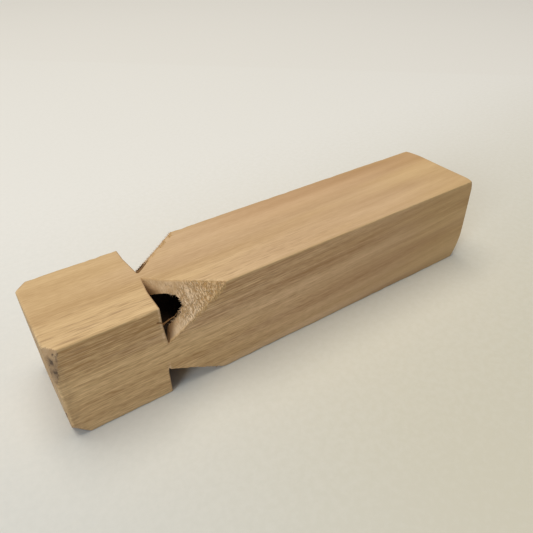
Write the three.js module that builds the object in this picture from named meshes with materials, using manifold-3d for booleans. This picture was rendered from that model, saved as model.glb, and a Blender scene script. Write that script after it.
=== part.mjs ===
// Four-note wooden train whistle.
// A square hardwood block is drilled from its mouth end with four blind bores of different depth.
// A sloping notch in each long edge opens one bore and leaves its sounding lip.
// A dowel plug with one flat fills the start of each bore, and the gap over its flat is the windway.
// Millimetres. +X runs from the mouth end to the tail, +Z is up, -Y is the near side.
// The origin is the bottom centre of the block.

import * as THREE from 'three';
import { mergeVertices, toCreasedNormals } from 'three/addons/utils/BufferGeometryUtils.js';
import Module from 'manifold-3d';

const wasm = await Module();
wasm.setup();

// Block
const blockLength = 180;
const blockWidth = 38;
const blockHeight = 38;
const longEdgeRadius = 0.8;
const endEdgeBreak = 0.8;

// Bores, measured from the mouth end, with the cone that the drill's point leaves
const boreRadius = 6.2;
const boreInset = 9.6;
const boreDeepest = 159;
const boreStep = 13;
const drillPointAngle = 118;

// Notches: the upright wall stands at the inner end of the plugs, and the ramp climbs back to the edge
const wallFromMouth = 35.2;
const valleyRound = 1.2;
const rampBow = 0.5;

// Fipple plugs
const glueGap = 0.12;
const windwayHeight = 1.4;

// The four corners of the section. across and down are the notch's legs on the wide faces and on the sides,
// rampEnd is where its ramp meets the long edge, facet is the planed-off corner of the mouth end
// and tailRun and tailDrop are the width and depth of the rounding of the tail's corner.
const corners = [
  {
    name: 'near_top', y: -1, z: 1, note: 0,
    across: 17.3, down: 15.4, rampEnd: 59.0,
    facet: { x: 4.0, y: 4.5, z: 14.0 }, tailRun: 7.0, tailDrop: 1.6,
  },
  {
    name: 'far_top', y: 1, z: 1, note: 1,
    across: 17.1, down: 15.0, rampEnd: 56.6,
    facet: { x: 4.0, y: 4.0, z: 6.0 }, tailRun: 12.0, tailDrop: 2.0,
  },
  {
    name: 'near_bottom', y: -1, z: -1, note: 2,
    across: 17.3, down: 11.4, rampEnd: 57.0,
    facet: { x: 5.7, y: 5.0, z: 6.4 }, tailRun: 12.0, tailDrop: 4.5,
  },
  {
    name: 'far_bottom', y: 1, z: -1, note: 3,
    across: 17.0, down: 13.5, rampEnd: 57.0,
    facet: { x: 5.0, y: 5.0, z: 6.0 }, tailRun: 10.0, tailDrop: 4.0,
  },
];

// Facets of the round and curved faces
const boreSegments = 32;
const curveSteps = 6;
const creaseAngle = THREE.MathUtils.degToRad(30);

// Worked out from the sizes above
const mouthX = -blockLength / 2;
const tailX = blockLength / 2;
const midZ = blockHeight / 2;
const wallX = mouthX + wallFromMouth;
const plugRadius = boreRadius - glueGap;
const plugFlat = boreRadius - windwayHeight;
const outside = blockWidth + blockHeight;
const alongX = new THREE.Vector3(1, 0, 0);

// A closed geometry as a solid that can be joined and cut
function solidFrom(geometry) {
  const bare = geometry.clone();
  bare.deleteAttribute('normal');
  bare.deleteAttribute('uv');
  const merged = mergeVertices(bare, 1e-5);
  return new wasm.Manifold(new wasm.Mesh({
    numProp: 3,
    vertProperties: new Float32Array(merged.attributes.position.array),
    triVerts: new Uint32Array(merged.index.array),
  }));
}

// The named mesh of a finished solid
function meshFrom(name, solid, material) {
  const { vertProperties, triVerts } = solid.getMesh();
  const geometry = new THREE.BufferGeometry();
  geometry.setAttribute('position', new THREE.BufferAttribute(vertProperties, 3));
  geometry.setIndex(new THREE.BufferAttribute(triVerts, 1));
  const mesh = new THREE.Mesh(toCreasedNormals(geometry, creaseAngle), material);
  mesh.name = name;
  return mesh;
}

// A profile drawn on the axes u and v, extruded to both sides of its plane and placed at a point
function extrudedProfile(shape, length, origin, u, v) {
  const geometry = new THREE.ExtrudeGeometry(shape, {
    depth: length,
    bevelEnabled: false,
    curveSegments: curveSteps,
  });
  geometry.translate(0, 0, -length / 2);
  const w = new THREE.Vector3().crossVectors(u, v);
  geometry.applyMatrix4(new THREE.Matrix4().makeBasis(u, v, w).setPosition(origin));
  return solidFrom(geometry);
}

// Everything beyond a plane, to be cut away
function beyondPlane(point, normal) {
  const box = new THREE.BoxGeometry(outside, outside, outside);
  box.translate(0, 0, outside / 2);
  const turn = new THREE.Quaternion().setFromUnitVectors(new THREE.Vector3(0, 0, 1), normal.clone().normalize());
  box.applyQuaternion(turn);
  box.translate(point.x, point.y, point.z);
  return solidFrom(box);
}

// A turned shape along +X that starts at the mouth end, on the axis of one corner's bore
function onBoreAxis(corner, radius, length, tip) {
  const profile = [
    new THREE.Vector2(0, 0),
    new THREE.Vector2(radius, 0),
    new THREE.Vector2(radius, length),
    new THREE.Vector2(0, length + tip),
  ];
  const turned = new THREE.LatheGeometry(profile, boreSegments);
  turned.rotateZ(-Math.PI / 2);
  const centre = boreCentre(corner);
  turned.translate(mouthX, centre.y, centre.z);
  return solidFrom(turned);
}

function boreCentre(corner) {
  const y = corner.y * (blockWidth / 2 - boreInset);
  const z = midZ + corner.z * (blockHeight / 2 - boreInset);
  return new THREE.Vector3(mouthX, y, z);
}

// A point on the long edge at this corner
function edgePoint(corner, x) {
  return new THREE.Vector3(x, corner.y * blockWidth / 2, midZ + corner.z * blockHeight / 2);
}

function blockStock() {
  const halfY = blockWidth / 2;
  const halfZ = blockHeight / 2;
  const section = new THREE.Shape();
  section.moveTo(-halfY + longEdgeRadius, -halfZ);
  section.lineTo(halfY - longEdgeRadius, -halfZ);
  section.absarc(halfY - longEdgeRadius, -halfZ + longEdgeRadius, longEdgeRadius, -Math.PI / 2, 0);
  section.lineTo(halfY, halfZ - longEdgeRadius);
  section.absarc(halfY - longEdgeRadius, halfZ - longEdgeRadius, longEdgeRadius, 0, Math.PI / 2);
  section.lineTo(-halfY + longEdgeRadius, halfZ);
  section.absarc(-halfY + longEdgeRadius, halfZ - longEdgeRadius, longEdgeRadius, Math.PI / 2, Math.PI);
  section.lineTo(-halfY, -halfZ + longEdgeRadius);
  section.absarc(-halfY + longEdgeRadius, -halfZ + longEdgeRadius, longEdgeRadius, Math.PI, Math.PI * 1.5);
  const centre = new THREE.Vector3(0, 0, midZ);
  return extrudedProfile(section, blockLength, centre, new THREE.Vector3(0, 1, 0), new THREE.Vector3(0, 0, 1));
}

// The small bevel that breaks the four edges of each end
function breakEndEdges(solid) {
  const sides = [[1, 0], [-1, 0], [0, 1], [0, -1]];
  let result = solid;
  for (const end of [-1, 1]) {
    for (const [y, z] of sides) {
      const point = new THREE.Vector3(
        end * (blockLength / 2 - endEdgeBreak), y * blockWidth / 2, midZ + z * blockHeight / 2);
      result = result.subtract(beyondPlane(point, new THREE.Vector3(end, y, z)));
    }
  }
  return result;
}

// The flat facet planed off one corner of the mouth end
function mouthFacet(corner) {
  const { x, y, z } = corner.facet;
  const point = edgePoint(corner, mouthX + x);
  return beyondPlane(point, new THREE.Vector3(-1 / x, corner.y / y, corner.z / z));
}

// The rounding of one corner of the tail: an arc that leaves the end face and drops towards the corner
function tailRounding(corner) {
  const { tailRun: run, tailDrop: drop } = corner;
  const radius = (run * run + drop * drop) / (2 * drop);
  const past = longEdgeRadius;
  const sweep = Math.asin((run + past) / radius);
  const outward = new THREE.Vector3(0, corner.y, corner.z).normalize();
  const profile = new THREE.Shape();
  profile.moveTo(past, -run);
  profile.lineTo(0, -run);
  profile.absarc(-radius, -run, radius, 0, sweep);
  profile.lineTo(past, past);
  return extrudedProfile(profile, outside, edgePoint(corner, tailX), alongX, outward);
}

// The sloping notch in one long edge: an upright wall, a rounded valley and a slightly hollow ramp
function notch(corner) {
  const { across, down, rampEnd } = corner;
  const depth = across * down / Math.hypot(across, down);
  const length = rampEnd - wallFromMouth;
  const slope = Math.atan2(depth, length);
  const reach = outside / 2;
  const start = new THREE.Vector2(valleyRound * Math.cos(slope), valleyRound * Math.sin(slope));
  const end = new THREE.Vector2(length, depth);
  const bend = start.clone().add(end).multiplyScalar(0.5);
  bend.x += 2 * rampBow * Math.sin(slope);
  bend.y -= 2 * rampBow * Math.cos(slope);
  const rise = end.clone().sub(bend).normalize();
  const profile = new THREE.Shape();
  profile.moveTo(0, reach);
  profile.lineTo(0, valleyRound);
  profile.quadraticCurveTo(0, 0, start.x, start.y);
  profile.quadraticCurveTo(bend.x, bend.y, end.x, end.y);
  profile.lineTo(end.x + rise.x * reach, end.y + rise.y * reach);
  const outward = new THREE.Vector3(0, corner.y * down, corner.z * across).normalize();
  const valley = edgePoint(corner, wallX).addScaledVector(outward, -depth);
  return extrudedProfile(profile, outside, valley, alongX, outward);
}

// One blind bore: the deepest is the lowest note
function bore(corner) {
  const tip = boreRadius / Math.tan(THREE.MathUtils.degToRad(drillPointAngle / 2));
  return onBoreAxis(corner, boreRadius, boreDeepest - boreStep * corner.note, tip);
}

function whistleBody() {
  let body = breakEndEdges(blockStock());
  for (const corner of corners) {
    body = body.subtract(mouthFacet(corner));
    body = body.subtract(tailRounding(corner));
    body = body.subtract(notch(corner));
    body = body.subtract(bore(corner));
  }
  return body;
}

// A dowel as long as the wall is deep, with its flat towards the block's long edge
function fipplePlug(corner) {
  const outward = new THREE.Vector3(0, corner.y, corner.z).normalize();
  const flat = boreCentre(corner).addScaledVector(outward, plugFlat);
  return onBoreAxis(corner, plugRadius, wallFromMouth, 0).subtract(beyondPlane(flat, outward));
}

const blockWood = new THREE.MeshStandardMaterial({ color: 0xcfac7f, roughness: 0.72, metalness: 0 });
const dowelWood = new THREE.MeshStandardMaterial({ color: 0xdcc096, roughness: 0.75, metalness: 0 });

const group = new THREE.Group();
group.add(meshFrom('whistle_body', whistleBody(), blockWood));
for (const corner of corners) {
  group.add(meshFrom(`fipple_plug_${corner.name}`, fipplePlug(corner), dowelWood));
}

export default group;
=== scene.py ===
import math
from collections import namedtuple
from functools import partialmethod, reduce

import bmesh
import bpy
import numpy as np
from bpy.props import FloatProperty, FloatVectorProperty, IntProperty, PointerProperty
from mathutils import Matrix, Vector


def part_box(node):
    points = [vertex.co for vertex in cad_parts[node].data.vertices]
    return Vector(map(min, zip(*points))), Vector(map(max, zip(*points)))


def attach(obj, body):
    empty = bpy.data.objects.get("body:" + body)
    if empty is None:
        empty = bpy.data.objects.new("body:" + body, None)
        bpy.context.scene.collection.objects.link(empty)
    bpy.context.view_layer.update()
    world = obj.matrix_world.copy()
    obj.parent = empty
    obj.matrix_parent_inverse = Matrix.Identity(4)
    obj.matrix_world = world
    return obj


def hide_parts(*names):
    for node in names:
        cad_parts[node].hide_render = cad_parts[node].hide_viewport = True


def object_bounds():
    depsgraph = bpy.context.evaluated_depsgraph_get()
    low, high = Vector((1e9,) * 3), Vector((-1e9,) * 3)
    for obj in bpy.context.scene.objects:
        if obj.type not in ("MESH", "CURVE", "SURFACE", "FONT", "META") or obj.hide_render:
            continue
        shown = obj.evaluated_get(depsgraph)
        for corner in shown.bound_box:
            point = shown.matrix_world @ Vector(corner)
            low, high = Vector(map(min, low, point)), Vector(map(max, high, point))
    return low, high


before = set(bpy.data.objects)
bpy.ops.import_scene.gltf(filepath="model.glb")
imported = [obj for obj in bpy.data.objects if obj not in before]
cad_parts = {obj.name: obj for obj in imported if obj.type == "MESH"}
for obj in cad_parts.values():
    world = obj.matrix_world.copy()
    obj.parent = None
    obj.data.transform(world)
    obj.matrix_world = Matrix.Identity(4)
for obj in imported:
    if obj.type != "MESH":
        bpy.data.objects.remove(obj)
CAD_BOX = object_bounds()

bl_info = {
    "name": "Wooden train whistle",
    "version": (1, 0, 0),
    "blender": (4, 5, 0),
    "location": "View3D > Sidebar > Whistle",
    "description": "Shapes and finishes a four-note wooden train whistle on a pale table",
    "category": "Object",
}

MM = 0.001
BODY = "root"
BLOCK_LOW, BLOCK_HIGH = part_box("whistle_body")
PLUG_LOW, PLUG_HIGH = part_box("fipple_plug_near_top")
BLOCK_SIZE = BLOCK_HIGH - BLOCK_LOW
MOUTH_X = BLOCK_LOW.x
AXIS_Z = (BLOCK_LOW.z + BLOCK_HIGH.z) / 2

# The four corners of the section, anticlockwise as seen from the mouth end, with sizes in millimetres.
# y and z are the corner's side. across and down are the notch's legs on the wide faces and on the sides, and
# ramp_end is where its ramp meets the long edge. hollow is how hollow the ramp is at the wide face, and
# side_hollow how much more so at the side. facet is the planed-off corner of the mouth end, tail_run and
# tail_drop are the rounding of the tail's, worn is how uneven the long edge is and depth is the bore's.
Corner = namedtuple(
    "Corner", "name y z across down ramp_end hollow side_hollow facet tail_run tail_drop worn depth")
CORNERS = (
    Corner("far_top", 1, 1, 17.1, 15.0, 56.6, 0.35, 0.15, (4.0, 4.0, 6.0), 12.0, 2.0, 0.10, 146.0),
    Corner("near_top", -1, 1, 17.3, 15.4, 59.0, 0.25, 0.75, (4.0, 4.5, 14.0), 7.0, 1.6, 0.22, 159.0),
    Corner("near_bottom", -1, -1, 17.3, 11.4, 56.5, 0.05, 0.10, (5.7, 5.0, 6.4), 12.0, 4.5, 0.12, 133.0),
    Corner("far_bottom", 1, -1, 17.0, 13.5, 57.0, 0.30, 0.30, (5.0, 5.0, 6.0), 10.0, 4.0, 0.12, 120.0),
)

# Material slots of the block, by kind of face
LONG_GRAIN, TORN_RAMP, END_GRAIN, BORE_WALL = range(4)

# Points of each ring on one corner's stretch and on the face beside it
CORNER_SAMPLES = 60
FACE_SAMPLES = 20
CORNER_STRIDE = CORNER_SAMPLES + FACE_SAMPLES


def size(name, description, default):
    """A setting that is a length in metres."""
    return FloatProperty(name=name, description=description, default=default, unit="LENGTH")


def colour(name, description, *default):
    """A colour setting."""
    return FloatVectorProperty(
        name=name, description=description, subtype="COLOR", size=4, default=(*default, 1.0))


class BlockSizes(bpy.types.PropertyGroup):
    """Sizes of the drilled and notched block"""

    length: size("Length", "Mouth end to tail", BLOCK_SIZE.x)
    width: size("Width", "Near side to far side", BLOCK_SIZE.y)
    height: size("Height", "Underside to top", BLOCK_SIZE.z)
    mouth_softness: size("Mouth softness", "Radius of the edges of the mouth end", 1.0 * MM)
    tail_softness: size("Tail softness", "Radius of the edges of the tail", 1.0 * MM)
    mouth_skew: size("Mouth skew", "How far the near side of the mouth end is sawn short", 0.6 * MM)
    wall_lean: size("Wall lean", "How far the foot of the near upper wall leans towards the tail", 0.7 * MM)
    notch_skew: size("Notch skew", "How far the notch under the near side sits towards the mouth", 0.75 * MM)
    middle_lag: size("Middle lag", "How far the upper walls stand back in the middle of the top", 1.1 * MM)
    near_overcut: size("Near overcut", "How much further across the top the near notch was sawn", 1.1 * MM)
    far_overcut: size("Far overcut", "The same for the far notch", 0.6 * MM)
    edge_inset: size("Edge inset", "How far sanding takes the long edges in", 0.10 * MM)
    edge_crispness: FloatProperty(
        name="Edge crispness", description="Higher leaves sharper edges between faces", default=300.0)
    wall: size("Notch wall", "Mouth end to the upright walls of the notches", PLUG_HIGH.x - MOUTH_X)
    wall_softness: size("Wall softness", "Radius of the worn outer edge of the walls", 0.35 * MM)
    valley_fillet: size("Valley fillet", "Height of the rounding in the valley", 0.35 * MM)
    pocket_width: size("Pocket width", "Widest part of the hollow torn beside the wall", 4.0 * MM)
    pocket_depth: size("Pocket depth", "How far the hollow drops at the wall", 2.2 * MM)
    kerf_width: size("Kerf width", "Widest part of the saw's slot between the bore and the side", 3.2 * MM)
    kerf_depth: size("Kerf depth", "How far the saw went below the ramp there", 2.6 * MM)
    tear: size("Tear", "Height of the torn ridges on the ramps", 0.10 * MM)
    waviness: size("Waviness", "Unevenness that hand sanding leaves on the faces", 0.05 * MM)
    bore_radius: size("Bore radius", "Radius of the four bores", 6.2 * MM)
    bore_inset: size("Bore inset", "Bore axis to the block's sides", 9.6 * MM)
    bore_tear: size("Bore tear", "Raggedness of the bores where they meet the ramps", 0.11 * MM)


class PlugSizes(bpy.types.PropertyGroup):
    """Sizes of the four flat-sided dowel plugs"""

    radius: size("Radius", "Radius of the dowel", (PLUG_HIGH.y - PLUG_LOW.y) / 2)
    windway: size("Windway", "Height of the gap over the flat", 1.4 * MM)
    end_softness: size("End softness", "Rounding of the plug's ends", 0.15 * MM)


class FibreSizes(bpy.types.PropertyGroup):
    """The torn fibres that stand on the ramps and at the lips"""

    on_ramp: IntProperty(name="On each ramp", description="Fibres on one ramp", default=240, min=0)
    at_lip: IntProperty(name="At each lip", description="Fibres at the edge of one bore", default=90, min=0)
    length: size("Length", "Longest fibre", 0.95 * MM)
    thickness: size("Thickness", "Fibre at its root", 0.050 * MM)


class WoodColours(bpy.types.PropertyGroup):
    """Colours of the bare wood, and the painted shade of the bores"""

    pale: colour("Pale wood", "Lightest long grain", 0.800, 0.565, 0.325)
    deep: colour("Deep wood", "Darker bands of the grain", 0.420, 0.245, 0.110)
    pore: colour("Pores", "Fine dark dashes along the grain", 0.300, 0.165, 0.078)
    torn: colour("Torn wood", "Whitish fuzz of the cut fibres", 0.850, 0.605, 0.368)
    gap: colour("Gaps", "Wood between the torn strands", 0.450, 0.268, 0.115)
    end: colour("End grain", "Sanded end grain", 0.530, 0.337, 0.174)
    # Painted shade: the bore walls are nearly black to stand for the shade deep in the bores
    bore_shade: colour("Bore wall", "Wood that the drill has darkened", 0.032, 0.015, 0.007)
    stain: colour("Stain", "Grey marks of handling at the mouth", 0.110, 0.068, 0.038)
    dowel: colour("Dowel", "The plugs' paler wood", 0.640, 0.470, 0.285)


class StageSettings(bpy.types.PropertyGroup):
    """Paper, lamps and sky"""

    far_paper: colour("Far paper", "Colour of the paper behind the whistle", 0.830, 0.798, 0.722)
    # The near paper's colour is painted shade
    shaded_near_paper: colour("Near paper", "Colour of the paper in front of it", 0.636, 0.592, 0.465)
    window: FloatProperty(name="Window", description="Power of the large lamp", default=42.0, unit="POWER")
    front: FloatProperty(name="Front", description="Power of the cool lamp", default=11.2, unit="POWER")
    sky: FloatProperty(name="Sky", description="Strength of the even light all round", default=0.185)


# Shape of the block

def unit(value):
    """Keeps a value between 0 and 1."""
    return np.clip(value, 0, 1)


def smooth(value, low, high):
    """Rises from 0 at low to 1 at high, level at both ends."""
    t = unit((value - low) / (high - low))
    return t * t * (3 - 2 * t)


def tent(value, start, first, last, stop):
    """Rises evenly from 0 at start to 1 at first, and falls evenly from 1 at last to 0 at stop."""
    return unit(np.minimum((value - start) / (first - start), (stop - value) / (stop - last)))


def normalised(rows):
    """Rows of vectors, each made one unit long."""
    return rows / np.linalg.norm(rows, axis=1)[:, None]


def wave_noise(points, wavelength, seed, count=20):
    """Smooth noise of about that wavelength: the mean of plane sine waves in random directions."""
    draw = np.random.default_rng(seed)
    direction = normalised(draw.normal(size=(count, 3)))
    stretch = draw.uniform(0.7, 1.5, size=(count, 1))
    phase = draw.uniform(0, math.tau, size=count)
    angle = points @ (direction * stretch * math.tau / wavelength).T + phase
    return np.sin(angle).sum(-1) / math.sqrt(count / 2)


def notch_sizes(corner, sizes):
    """Depth of the valley under the long edge, both legs' unit shares and the ramp's run, in metres."""
    leg = math.hypot(corner.across, corner.down)
    depth = corner.across * corner.down / leg * MM
    return depth, corner.down / leg, corner.across / leg, corner.ramp_end * MM - sizes.wall


def torn_pocket(sizes, behind, side):
    """Depth of what the saw took out beside the wall. From the wide face (side 0) to the bore it is a hollow
    that widens and falls as a parabola to the wall. From the bore to the block's side (side 1) it is a slot
    with steep sides that narrows evenly. behind is the distance from the wall."""
    least, widest, narrow, steep, narrowing = 0.02, 0.27, 0.65 * MM, 1.3 * MM, 0.29
    above = np.maximum(unit(side / widest) * (1 - smooth(side, 0.50, 0.60)), least)
    left = unit(1 - behind / (sizes.pocket_width * above))
    hollow = sizes.pocket_depth * (above - least) * left * left
    slot = narrow + (sizes.kerf_width - narrow) * (1 - side) / narrowing
    slot = np.minimum(slot, sizes.kerf_width) * smooth(side, 0.60, 0.68) + 1e-5
    sunk = sizes.kerf_depth * np.minimum(slot / steep, 1)
    return np.maximum(hollow, sunk * (1 - smooth(behind, 0.7 * slot, slot)))


def ramp_height(corner, sizes, x, side):
    """Height of the ramp over its valley at x from the mouth: a straight rise, less a parabola for the hollow
    that is deeper towards the block's side, plus a small fillet that fades away from the wall."""
    fade = 0.7 * MM
    depth, _, _, run = notch_sizes(corner, sizes)
    part = (x - sizes.wall) / run
    hollow = (corner.hollow + corner.side_hollow * side * side) * MM
    fillet = sizes.valley_fillet * np.exp(-np.maximum(x - sizes.wall, 0) / fade)
    return depth * part - 4 * hollow * part * unit(1 - part) + fillet


def quarter_round(distance, radius):
    """How far a face draws in at a distance from the end of the block: a quarter circle."""
    gap = np.clip(radius - distance, 0, radius)
    return radius - np.sqrt(radius * radius - gap * gap)


def tail_offset(corner, sizes, x):
    """Distance from the axis of the rounding of a tail corner: an arc that is tangent to the end face."""
    run, drop = corner.tail_run * MM, corner.tail_drop * MM
    radius = (run * run + drop * drop) / (2 * drop)
    past = np.clip(x - (sizes.length - radius), 0, radius)
    vertex = (sizes.width + sizes.height) / 2 / math.sqrt(2)
    return vertex - run + np.sqrt(radius * radius - past * past)


def section_radius(sizes, x, angle, cut, side):
    """Radius of the block's outline at each x and angle, and the kind of plane that rules there. The outline
    is the overlap of half planes: the faces, the eased edges, the mouth's facets, the tail's roundings and,
    where cut, the notches. The radius is one over the p-norm of their shares, which softens every edge."""
    drawn_in = quarter_round(x, sizes.mouth_softness) + quarter_round(sizes.length - x, sizes.tail_softness)
    half = np.array((sizes.width / 2, sizes.height / 2))
    planes = []
    for axis, turn in ((0, 1), (0, -1), (1, 1), (1, -1)):
        planes.append((turn * (1 - axis), turn * axis, half[axis] - drawn_in, LONG_GRAIN))
    diagonal = 1 / math.sqrt(2)
    along = np.concatenate([x, np.zeros((len(x), 2))], 1)
    for index, corner in enumerate(CORNERS):
        ny, nz = corner.y * diagonal, corner.z * diagonal
        chipped = np.maximum(wave_noise(along, 5 * MM, 40 + index), 0) * corner.worn * MM
        eased = half.sum() * diagonal - sizes.edge_inset - chipped[:, None]
        planes.append((ny, nz, eased, LONG_GRAIN))
        planes.append((ny, nz, tail_offset(corner, sizes, x), END_GRAIN))
        fx, fy, fz = (MM * value for value in corner.facet)
        norm = math.hypot(1 / fy, 1 / fz)
        facet = (half[0] / fy + half[1] / fz - 1 + x / fx) / norm
        planes.append((corner.y / fy / norm, corner.z / fz / norm, facet, END_GRAIN))
        if cut:
            depth, share_y, share_z, _ = notch_sizes(corner, sizes)
            vertex = half[0] * share_y + half[1] * share_z
            behind = x - sizes.wall
            height = ramp_height(corner, sizes, x, side[index]) - torn_pocket(sizes, behind, side[index])
            steps = wave_noise(along, 2.6 * MM, 60 + index) * sizes.tear * 0.8
            height = height + steps[:, None] * smooth(behind, 3 * MM, 8 * MM)
            planes.append((corner.y * share_y, corner.z * share_z, vertex - depth + height, TORN_RAMP))
    cos, sin = np.cos(angle), np.sin(angle)
    shares = np.stack([np.maximum(ny * cos + nz * sin, 0) / offset for ny, nz, offset, _ in planes])
    kinds = np.array([kind for _, _, _, kind in planes])
    largest = shares.max(0)
    power = sizes.edge_crispness
    total = ((shares / largest) ** power).sum(0) ** (1 / power)
    return 1 / (largest * total), kinds[shares.argmax(0)]


def corner_ends(corner, sizes, x, cut):
    """Where a corner's stretch of the square outline begins and ends, anticlockwise, with the vertex between.
    Behind the wall both points follow the notch's edges until they come close to the vertex, and before it
    they stay where the notch begins."""
    eased_leg = 0.8 * MM
    half_y, half_z = sizes.width / 2, sizes.height / 2
    depth, share_y, share_z, _ = notch_sizes(corner, sizes)
    behind = x if cut else np.full_like(x, sizes.wall)
    tail = (half_y + half_z) / math.sqrt(2) - tail_offset(corner, sizes, behind)
    least = np.maximum(tail * math.sqrt(2), eased_leg)
    wide = np.maximum((depth - ramp_height(corner, sizes, behind, 0.0)) / share_y, least)
    side = np.maximum((depth - ramp_height(corner, sizes, behind, 1.0)) / share_z, least)
    on_wide = np.stack([corner.y * (half_y - wide), np.full_like(x, corner.z * half_z)], -1)
    on_side = np.stack([np.full_like(x, corner.y * half_y), corner.z * (half_z - side)], -1)
    vertex = np.broadcast_to(np.array((corner.y * half_y, corner.z * half_z)), on_wide.shape)
    if corner.y * corner.z > 0:
        return on_side, vertex, on_wide
    return on_wide, vertex, on_side


def ring_angles(sizes, x, cut):
    """Angles of every ring's points, so that lines of the grid run along the notches' edges. Also gives, for
    each corner, how near each point is to the block's side, from 0 on the wide face to 1 on the side."""
    ends = [corner_ends(corner, sizes, x, cut) for corner in CORNERS]
    points, sides = [], []
    spread = np.linspace(0, 1, CORNER_SAMPLES)[:, None]
    away = np.abs(2 * spread - 1) ** 1.7
    between = np.linspace(0, 1, FACE_SAMPLES + 2)[1:-1, None]
    for index, corner in enumerate(CORNERS):
        first, vertex, last = (point[:, None] for point in ends[index])
        if cut:
            stretch = first + (last - first) * spread
        else:
            stretch = vertex + (np.where(spread < 0.5, first, last) - vertex) * away
        following = ends[(index + 1) % len(ends)][0][:, None]
        points += [stretch, last + (following - last) * between]
        nearness = np.zeros(CORNER_STRIDE * len(CORNERS))
        turned = 1 if corner.y * corner.z > 0 else -1
        start = index * CORNER_STRIDE
        nearness[start:start + CORNER_SAMPLES] = np.linspace(1, 0, CORNER_SAMPLES)[::turned]
        sides.append(nearness[None, :])
    grid = np.concatenate(points, 1)
    return np.arctan2(grid[..., 1], grid[..., 0]), sides


def around_axis(x, radius, angle):
    """Points at a distance along the axis, and at a radius and an angle about it."""
    return np.stack(np.broadcast_arrays(x, radius * np.cos(angle), radius * np.sin(angle)), -1)


def outer_rings(sizes, x, cut):
    """Rings of the block's skin at the given distances from the mouth, as points and kinds of face."""
    column = x[:, None]
    angle, sides = ring_angles(sizes, x, cut)
    radius, kind = section_radius(sizes, column, angle, cut, sides)
    ring = around_axis(column, radius, angle)
    sanded_wave, ridge_spacing = 34 * MM, 0.95 * MM
    wavy = sizes.waviness * (wave_noise(ring, sanded_wave, 3) - 1.6) * smooth(column, 1 * MM, 8 * MM)
    inner = np.clip(wavy, -3 * sizes.waviness, 0)
    torn = smooth(column - sizes.wall, 1.5 * MM, 9 * MM) * (kind == TORN_RAMP)
    ridge = np.abs(np.sin(math.pi * (column / ridge_spacing + 0.8 * wave_noise(ring, 3.2 * MM, 5)))) - 0.6
    rough = 0.6 * ridge + 0.45 * wave_noise(ring, 1.3 * MM, 7)
    lift = inner * (kind != TORN_RAMP) + sizes.tear * rough * torn
    ring[..., 1:] *= (1 + lift / radius)[..., None]
    return ring, kind


def spaced(start, stop, step):
    """Evenly spaced values from start to just before stop, about one step apart."""
    return np.linspace(start, stop, max(2, int(round((stop - start) / step)) + 1))[:-1]


def wall_rings(sizes, full, cut):
    """The upright walls of the notches: first the worn outer edge as a quarter circle, then straight inwards
    to the valley. full and cut are the outlines before and behind the wall. Also gives each point's kind of
    face, which stays long grain where there is no notch."""
    path = np.zeros(full.shape[0])
    for start in range(0, len(path), CORNER_STRIDE):
        stretch = full[start:start + CORNER_SAMPLES]
        along = np.concatenate([[0], np.cumsum(np.linalg.norm(np.diff(stretch, axis=0), axis=1))])
        path[start:start + CORNER_SAMPLES] = np.minimum(along, along[-1] - along)
    soft = sizes.wall_softness * unit(path / (1.5 * MM))
    inward = cut - full
    inward[:, 0] = 0
    length = np.linalg.norm(inward, axis=1)
    way = inward / np.maximum(length, 1e-9)[:, None]
    rings = []
    for turn in np.linspace(0, math.pi / 2, 5):
        ring = full + way * (np.minimum(soft, length) * (1 - math.cos(turn)))[:, None]
        ring[:, 0] = sizes.wall - sizes.wall_softness * (1 - math.sin(turn))
        rings.append(ring)
    edge = rings[-1]
    for part in np.linspace(0, 1, 11)[1:-1]:
        ring = edge + (cut - edge) * part
        bulge = 0.06 * MM * math.sin(math.pi * part)
        ring[:, 0] += bulge * (wave_noise(ring, 4 * MM, 11) - 1) * (length > 1 * MM)
        rings.append(ring)
    kinds = np.where(length > 0.02 * MM, END_GRAIN, LONG_GRAIN)
    return np.stack(rings), np.tile(kinds, (len(rings), 1))


def cap_rings(rim, centre, least, count):
    """Rings inside a rim, from the smallest outwards, that close the end of a piece."""
    return centre + (rim - centre) * np.linspace(least, 1, count)[:-1][:, None, None]


def grid_faces(rings, around):
    """Quads between neighbouring rings of a closed grid, pointing outwards when the rings run along +X."""
    i, j = np.meshgrid(np.arange(rings - 1), np.arange(around), indexing="ij")
    k = (j + 1) % around
    quads = np.stack([i * around + j, i * around + k, (i + 1) * around + k, (i + 1) * around + j], -1)
    return quads.reshape(-1, 4)


def weld(mesh, distance):
    """Merges points that coincide, drops faces without area and turns every face outwards."""
    work = bmesh.new()
    work.from_mesh(mesh)
    bmesh.ops.remove_doubles(work, verts=work.verts, dist=distance)
    bmesh.ops.dissolve_degenerate(work, edges=work.edges, dist=distance)
    bmesh.ops.recalc_face_normals(work, faces=work.faces)
    work.to_mesh(mesh)
    work.free()


def closed_mesh(name, rings, kinds=None, end_kind=0):
    """A mesh from rings of points that run along +X, closed by a fan of triangles at each end."""
    count, around = rings.shape[:2]
    middle, last = count * around, (count - 1) * around
    points = np.concatenate([rings.reshape(-1, 3), np.stack([rings[0].mean(0), rings[-1].mean(0)])])
    j = np.arange(around)
    k = (j + 1) % around
    start = np.stack([np.full(around, middle), k, j], -1)
    stop = np.stack([np.full(around, middle + 1), last + j, last + k], -1)
    faces = grid_faces(count, around).tolist() + start.tolist() + stop.tolist()
    mesh = bpy.data.meshes.new(name)
    mesh.from_pydata(points.tolist(), [], faces)
    if kinds is not None:
        slots = np.concatenate([kinds[:-1].ravel(), np.full(2 * around, end_kind)])
        mesh.polygons.foreach_set("material_index", slots.astype(np.int32))
    weld(mesh, 2e-6)
    return mesh


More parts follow.
